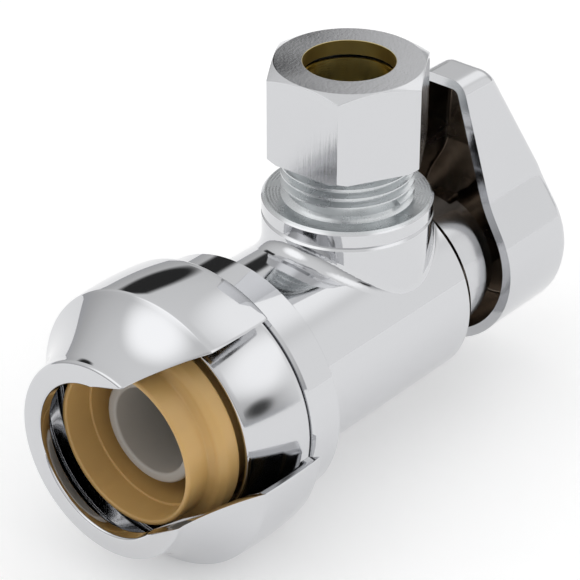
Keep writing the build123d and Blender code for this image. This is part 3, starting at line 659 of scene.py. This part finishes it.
class VALVE_OT_end_cap(bpy.types.Operator):
    """Models the chromed nose that holds the cartridge in the body"""

    bl_idname = "valve.end_cap"
    bl_label = "Inlet end cap"

    def execute(self, context):
        low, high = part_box("inlet_end_cap")
        front, rear, rear_r = low.y / MM, high.y / MM, high.z / MM
        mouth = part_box("release_collar")[1].z / MM + 0.15
        inside = rear_r - 1.95
        flank = arc((mouth + 0.5, front), (rear_r - 0.8, (front + rear) / 2), (rear_r, rear), 12)
        corners = [(mouth, front, 0.1), (mouth + 0.5, front, 0.3)]
        corners += [(radius, place, 0) for radius, place in flank[1:]]
        corners += [(rear_r, rear, 0.2), (inside, rear, 0), (inside, front + 3.3, 0)]
        corners += [(mouth - 1.6, front + 3.3, 0.1), (mouth - 1.6, front + 2.1, 0.2), (mouth, front + 2.1, 0)]
        piece = turned("end_cap", in_metres(rounded(corners)))
        chrome = polished_chrome("cap_chrome", context.scene.valve_finish, worn=0.5)
        finish_piece(piece, chrome, "valve", "polished_chrome", "inlet_end_cap")
        return {"FINISHED"}


class VALVE_OT_collar(bpy.types.Operator):
    """Models the tan release collar"""

    bl_idname = "valve.collar"
    bl_label = "Release collar"

    def execute(self, context):
        low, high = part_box("release_collar")
        front, rear, flange = low.y / MM, high.y / MM, high.z / MM
        bore = flange - 2.55
        nose = bore + 0.82
        corners = [(bore + 0.2, front, 0.25), (nose, front, 0.3), (nose, front + 2.75, 0.3)]
        corners += [(nose + 0.75, front + 3.05, 0.25), (flange - 0.55, front + 3.15, 0.5)]
        corners += [(flange, front + 3.9, 0.6), (flange, front + 5.6, 0.3), (bore + 0.95, front + 5.6, 0.1)]
        corners += [(bore + 0.95, rear - 1.1, 0), (bore + 1.4, rear - 1.1, 0.1)]
        corners += [(bore + 1.4, rear - 0.55, 0.1), (bore + 0.2, rear, 0.1), (bore, rear, 0)]
        corners += [(bore, front + 3.4, 0.1), (bore + 0.2, front + 3.4, 0.1)]
        piece = turned("release_collar_tan", in_metres(rounded(corners)))
        plastic = tan_acetal("collar_plastic", context.scene.valve_finish)
        finish_piece(piece, plastic, "collar", "tan_acetal", "release_collar")
        return {"FINISHED"}


class VALVE_OT_liner(bpy.types.Operator):
    """Models the tube liner that stands in the collar"""

    bl_idname = "valve.liner"
    bl_label = "Tube liner"

    def execute(self, context):
        low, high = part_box("tube_liner")
        front, rear, flange = low.y / MM, high.y / MM, high.z / MM
        outer, inner = flange - 2.1, flange - 3.25
        corners = [(inner, front, 0.3), (outer, front, 0.35), (outer, rear - 1, 0.2), (flange, rear - 1, 0.1)]
        corners += [(flange, rear, 0), (inner, rear, 0)]
        piece = turned("liner", in_metres(rounded(corners)), 128)
        plastic = moulded_plastic("liner_plastic", context.scene.valve_finish.liner)
        finish_piece(piece, plastic, "valve", "grey_plastic", "tube_liner")
        return {"FINISHED"}


class VALVE_OT_body(bpy.types.Operator):
    """Finishes the forged body with its band, tower and thread"""

    bl_idname = "valve.body"
    bl_label = "Valve body"

    def execute(self, context):
        paint_node("valve_body", body_chrome("body_chrome", context.scene.valve_finish))
        return {"FINISHED"}


class VALVE_OT_bonnet(bpy.types.Operator):
    """Finishes the bonnet and its stop ring"""

    bl_idname = "valve.bonnet"
    bl_label = "Bonnet"

    def execute(self, context):
        paint_node("bonnet", polished_chrome("bonnet_chrome", context.scene.valve_finish, worn=0.25))
        return {"FINISHED"}


class VALVE_OT_nut(bpy.types.Operator):
    """Models the hex nut with softened edges"""

    bl_idname = "valve.nut"
    bl_label = "Compression nut"

    def execute(self, context):
        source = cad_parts["compression_nut"]
        piece = bpy.data.objects.new("hex_nut", source.data.copy())
        context.scene.collection.objects.link(piece)
        pick(piece)
        bpy.ops.object.mode_set(mode="EDIT")
        bpy.ops.mesh.select_all(action="SELECT")
        bpy.ops.mesh.remove_doubles(threshold=MERGE)
        bpy.ops.mesh.customdata_custom_splitnormals_clear()
        bpy.ops.mesh.dissolve_limited(angle_limit=radians(0.6))
        bpy.ops.object.mode_set(mode="OBJECT")
        soft_edge = {"width": 0.16 * MM, "segments": 3, "limit_method": "ANGLE", "angle_limit": radians(24)}
        add_modifier(piece, "BEVEL", **soft_edge)
        smooth(piece, 30)
        add_modifier(piece, "WEIGHTED_NORMAL", keep_sharp=True)
        chrome = nut_chrome("nut_chrome", context.scene.valve_finish)
        finish_piece(piece, chrome, "nut", "satin_chrome", "compression_nut")
        return {"FINISHED"}


class VALVE_OT_handle(bpy.types.Operator):
    """Models the hollow lever handle"""

    bl_idname = "valve.handle"
    bl_label = "Handle"

    back_curve = 2.3
    wall_rings, edge_rings, back_rings = 6, 6, 8
    # The rest is in millimetres
    spacing = 0.02
    spine_gap = 4
    screw_clearance, screw_seat = 0.15, 2.0
    boss_inner, boss_outer, boss_gap = 3.5, 4.6, 2.6
    tab_size, tab_height, tab_edge = (2.8, 2.6, 3.0), 5.8, 0.25

    def execute(self, context):
        settings = context.scene.valve_shape
        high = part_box("handle")[1]
        self.hub_r, self.top_z, self.back = high.x / MM, high.z / MM, high.y / MM
        self.depth, self.top_depth = settings.handle_depth / MM, settings.handle_top_depth / MM
        self.rim = self.back - self.depth
        piece = self.shell(settings)
        self.sink_recess(piece)
        piece = join(piece, self.boss(), self.stop_tab())
        smooth(piece, 40)
        add_modifier(piece, "WEIGHTED_NORMAL", keep_sharp=True)
        finish = context.scene.valve_finish
        chrome = polished_chrome("handle_chrome", finish, worn=0.55)
        finish_piece(piece, chrome, "handle_set", "polished_chrome", "handle")
        # The hollow's dark material is dull plating with painted shade of the hollow
        piece.data.materials.append(hollow_plate_and_shade("handle_hollow_and_shade", finish))
        self.darken_hollow(piece, settings)
        return {"FINISHED"}

    def outline(self, settings):
        """The lever's outline on the rim plane as (x, z) points: a round hub under a narrow lever."""
        hub = self.hub_r
        foot = hub * tan(radians(15))
        half = [(hub, -hub, hub), (hub, foot, hub), (settings.waist_x / MM, settings.waist_z / MM, 14)]
        half += [(settings.handle_top_half / MM, self.top_z, 2.0)]
        corners = half + [(-x, z, radius) for x, z, radius in reversed(half)]
        points = rounded(corners, 14)
        pairs = zip(points, [points[-1]] + points)
        return [point for point, last in pairs if dist(point, last) > self.spacing]

    def back_y(self, z):
        """Where the handle's back lies at a height."""
        share = max(z, 0) / self.top_z
        return self.rim + self.depth - (self.depth - self.top_depth) * share**self.back_curve

    def wall_reach(self, z, edge):
        """How far the side wall reaches back from the rim at a height."""
        return self.back_y(z) - edge - self.rim

    def shell(self, settings):
        """The hollow shell: side wall, rounded back edge and back, with a wall's thickness inwards."""
        outline = [Vector(point) for point in self.outline(settings)]
        count = len(outline)
        normals = []
        for index in range(count):
            along = (outline[(index + 1) % count] - outline[index - 1]).normalized()
            normals.append(Vector((along.y, -along.x)))
        edge = settings.handle_edge / MM
        rings = []
        steps = self.wall_rings
        for step in range(steps + 1):
            rings.append(
                self.ring(outline, normals, 0, lambda z: self.rim + self.wall_reach(z, edge) * step / steps)
            )
        for step in range(1, self.edge_rings + 1):
            turn = radians(90 * step / self.edge_rings)
            inset, rise = edge * (1 - cos(turn)), edge * sin(turn)
            rings.append(self.ring(outline, normals, inset, lambda z: self.back_y(z) - edge + rise))
        spine_top = self.top_z - self.spine_gap
        for step in range(1, self.back_rings + 1):
            share = step / self.back_rings
            points = []
            for point, normal in zip(outline, normals):
                flat = point - normal * edge
                spine = Vector((0, min(max(flat.y, 0), spine_top)))
                here = flat.lerp(spine, share)
                points.append(Vector((here.x, self.back_y(here.y), here.y)) * MM)
            rings.append(points)
        piece = loft("lever_handle", rings)
        add_modifier(piece, "SOLIDIFY", thickness=settings.handle_wall, offset=-1, use_quality_normals=True)
        return piece

    def ring(self, outline, normals, inset, place):
        """One ring of the shell, moved in from the outline, at the place that each height gives."""
        points = []
        for point, normal in zip(outline, normals):
            x, z = point - normal * inset
            points.append(Vector((x, place(z), z)) * MM)
        return points

    def sink_recess(self, piece):
        """Cuts the round recess for the screw's head."""
        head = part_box("handle_screw")[1]
        radius = head.x + self.screw_clearance * MM
        depth = self.back * MM - (head.y - self.screw_seat * MM)
        place, turn = (0, self.back * MM, 0), (pi / 2, 0, 0)
        deselect_all()
        bpy.ops.mesh.primitive_cylinder_add(
            vertices=72, radius=radius, depth=2 * depth, location=place, rotation=turn
        )
        cutter = bpy.context.object
        place_in_mesh(cutter)
        add_modifier(piece, "BOOLEAN", operation="DIFFERENCE", object=cutter, solver="EXACT")
        bpy.data.objects.remove(cutter)

    def boss(self):
        """The round boss that takes the stem's square."""
        start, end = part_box("handle")[0].y / MM, self.back - self.boss_gap
        inner, outer = self.boss_inner, self.boss_outer
        corners = [(inner, start, 0.1), (outer, start, 0.2), (outer, end, 0), (inner, end, 0)]
        return turned("handle_boss", in_metres(rounded(corners, 2)), 72)

    def stop_tab(self):
        """The tab that meets the bonnet's quarter-turn stop."""
        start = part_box("handle")[0].y
        deselect_all()
        middle = start + self.tab_size[1] / 2 * MM
        bpy.ops.mesh.primitive_cube_add(size=1, location=(0, middle, self.tab_height * MM))
        tab = bpy.context.object
        bpy.ops.transform.resize(value=tuple(side * MM for side in self.tab_size))
        place_in_mesh(tab)
        bpy.ops.object.mode_set(mode="EDIT")
        bpy.ops.mesh.select_all(action="SELECT")
        bpy.ops.mesh.bevel(offset=self.tab_edge * MM, segments=2, affect="EDGES")
        bpy.ops.object.mode_set(mode="OBJECT")
        return tab

    def darken_hollow(self, piece, settings):
        """Gives the inside faces the duller plating of the hollow, darkened with painted shade."""
        outline = [Vector(point) for point in self.outline(settings)]
        sides = list(zip(outline, outline[1:] + outline[:1]))
        wall = 0.6 * settings.handle_wall / MM
        for face in piece.data.polygons:
            x, y, z = (value / MM for value in face.center)
            if not self.rim + 0.05 < y < self.back_y(z) - wall:
                continue
            here = Vector((x, z))
            edge = min((here - self.closest(here, first, last)).length for first, last in sides)
            if edge > wall:
                face.material_index = 1

    def closest(self, point, first, last):
        """The point of a straight side that lies nearest."""
        side = last - first
        share = (point - first).dot(side) / side.length_squared
        return first + side * min(max(share, 0), 1)


class VALVE_OT_small_parts(bpy.types.Operator):
    """Finishes the ferrule, the screw and the sealed inner pieces"""

    bl_idname = "valve.small_parts"
    bl_label = "Small and inner parts"

    def execute(self, context):
        finish = context.scene.valve_finish
        paint_node("ferrule", turned_metal("ferrule_brass", finish.brass, True))
        paint_node("stem", turned_metal("stem_brass", finish.brass, False))
        steel = turned_metal("stainless_steel", (0.5, 0.5, 0.5), False, 0.22, 0.34, 700)
        for node in ("handle_screw", "grab_ring"):
            paint_node(node, steel)
        paint_node("ball", polished_chrome("ball_chrome", finish))
        fluoropolymer = moulded_plastic("seat_fluoropolymer", (0.8, 0.8, 0.77), 0.3, 0.45)
        for node in ("inlet_seat", "rear_seat", "outlet_seat", "thrust_washer"):
            paint_node(node, fluoropolymer)
        seal = rubber("seal_rubber")
        for node in ("inlet_o_ring", "stem_o_ring_inner", "stem_o_ring_outer", "bonnet_o_ring"):
            paint_node(node, seal)
        paint_node("collar_retainer", moulded_plastic("retainer_plastic", (0.03, 0.03, 0.03)))
        paint_node("grab_ring_spacer", tan_acetal("spacer_plastic", finish))
        return {"FINISHED"}


# ---- Stage
class VALVE_OT_stage(bpy.types.Operator):
    """Adds the pale floor, the light tent and the camera"""

    bl_idname = "valve.stage"
    bl_label = "Studio"

    floor_size, floor_glow = 4, 0.2
    floor_gap = 0.05 * MM
    # The tent's walls between floor and top: place and brightness
    sky_levels = ((0.12, 0.55), (0.3, 0.68), (0.6, 0.82))
    # Soft boxes and dark gaps: direction, inner and outer half angle in degrees, brightness
    patches = (
        ((-0.35, -0.55, 0.75), 8, 30, 1.45),
        ((0.75, 0.2, 0.65), 8, 28, 1.35),
        ((0.1, 0.75, 0.65), 8, 26, 1.25),
        ((-0.71, 0.57, 0.40), 8, 13, 0.03),
        ((0.74, 0.64, 0.18), 14, 34, 1.0),
        ((0.985, 0.02, 0.18), 2, 9, 0.06),
    )

    def execute(self, context):
        settings = context.scene.valve_stage
        self.add_floor()
        self.add_sky(context.scene, settings)
        self.add_camera(context.scene, settings)
        return {"FINISHED"}

    def add_floor(self):
        deselect_all()
        bpy.ops.mesh.primitive_plane_add(size=self.floor_size, location=(0, 0, FLOOR_Z - self.floor_gap))
        floor = bpy.context.object
        floor.name = "studio_floor"
        paint = white_paint("studio_floor", (0.92, 0.92, 0.92))
        surface = paint.node_tree.nodes["Principled BSDF"]
        surface.inputs["Emission Color"].default_value = (1, 1, 1, 1)
        surface.inputs["Emission Strength"].default_value = self.floor_glow
        floor.data.materials.append(paint)

    def add_sky(self, scene, settings):
        """A light tent: grey walls, brighter above, with soft bright boxes and dark gaps."""
        world = bpy.data.worlds.new("light_tent")
        world.use_nodes = True
        scene.world = world
        nodes, links = world.node_tree.nodes, world.node_tree.links
        background = nodes["Background"]
        place = nodes.new("ShaderNodeTexCoord")
        split = nodes.new("ShaderNodeSeparateXYZ")
        ramp = nodes.new("ShaderNodeValToRGB")
        links.new(place.outputs["Generated"], split.inputs["Vector"])
        links.new(split.outputs["Z"], ramp.inputs["Fac"])
        stops = ramp.color_ramp.elements
        stops[0].position, stops[0].color = 0.0, (0.48, 0.485, 0.50, 1)
        stops[1].position, stops[1].color = 1.0, (0.9, 0.9, 0.9, 1)
        for position, level in self.sky_levels:
            stop = stops.new(position)
            stop.color = (level, level, level, 1)
        colour = ramp.outputs["Color"]
        for direction, inner, outer, level in self.patches:
            dot = nodes.new("ShaderNodeVectorMath")
            dot.operation = "DOT_PRODUCT"
            dot.inputs[1].default_value = Vector(direction).normalized()
            links.new(place.outputs["Generated"], dot.inputs[0])
            mask = nodes.new("ShaderNodeMapRange")
            mask.interpolation_type = "SMOOTHSTEP"
            mask.inputs["From Min"].default_value = cos(radians(outer))
            mask.inputs["From Max"].default_value = cos(radians(inner))
            links.new(dot.outputs["Value"], mask.inputs["Value"])
            mix = nodes.new("ShaderNodeMix")
            mix.data_type = "RGBA"
            links.new(mask.outputs["Result"], mix.inputs["Factor"])
            links.new(colour, mix.inputs["A"])
            mix.inputs["B"].default_value = (level, level, level, 1)
            colour = mix.outputs["Result"]
        links.new(colour, background.inputs["Color"])
        background.inputs["Strength"].default_value = settings.sky
        scene.view_settings.view_transform = "Standard"

    def add_camera(self, scene, settings):
        az, el = settings.azimuth, settings.elevation
        back = Vector((sin(az) * cos(el), -cos(az) * cos(el), sin(el)))
        right = Vector((cos(az), sin(az), 0))
        up = back.cross(right)
        aim = Vector((0, TOWER_Y, 0)) + right * settings.aim_right + up * settings.aim_up
        deselect_all()
        bpy.ops.object.camera_add(location=aim + back * settings.distance)
        camera = bpy.context.object
        camera.name = "studio_camera"
        camera.rotation_euler = back.to_track_quat("Z", "Y").to_euler()
        camera.data.sensor_width = 36
        camera.data.lens = settings.lens
        camera.data.clip_start = 0.01
        scene.camera = camera


# ---- Panel and registration
class VALVE_PT_panel(bpy.types.Panel):
    """The valve's pieces and settings"""

    bl_idname = "VALVE_PT_panel"
    bl_label = "Angle stop valve"
    bl_space_type = "VIEW_3D"
    bl_region_type = "UI"
    bl_category = "Valve"

    def draw(self, context):
        for operator in OPERATORS:
            self.layout.operator(operator.bl_idname)
        for group in (context.scene.valve_finish, context.scene.valve_shape, context.scene.valve_stage):
            box = self.layout.box()
            for key in group.__annotations__:
                box.prop(group, key)


OPERATORS = (
    VALVE_OT_stage,
    VALVE_OT_shroud,
    VALVE_OT_end_cap,
    VALVE_OT_collar,
    VALVE_OT_liner,
    VALVE_OT_body,
    VALVE_OT_bonnet,
    VALVE_OT_nut,
    VALVE_OT_handle,
    VALVE_OT_small_parts,
)
CLASSES = (ValveFinishSettings, ValveShapeSettings, ValveStageSettings, *OPERATORS, VALVE_PT_panel)


def register():
    for kind in CLASSES:
        bpy.utils.register_class(kind)
    bpy.types.Scene.valve_finish = bpy.props.PointerProperty(type=ValveFinishSettings)
    bpy.types.Scene.valve_shape = bpy.props.PointerProperty(type=ValveShapeSettings)
    bpy.types.Scene.valve_stage = bpy.props.PointerProperty(type=ValveStageSettings)


def unregister():
    del bpy.types.Scene.valve_stage
    del bpy.types.Scene.valve_shape
    del bpy.types.Scene.valve_finish
    for kind in reversed(CLASSES):
        bpy.utils.unregister_class(kind)


def main():
    """Builds the stage and every piece."""
    register()
    bpy.ops.valve.stage()
    bpy.ops.valve.shroud()
    bpy.ops.valve.end_cap()
    bpy.ops.valve.collar()
    bpy.ops.valve.liner()
    bpy.ops.valve.body()
    bpy.ops.valve.bonnet()
    bpy.ops.valve.nut()
    bpy.ops.valve.handle()
    bpy.ops.valve.small_parts()


if __name__ == "__main__":
    main()
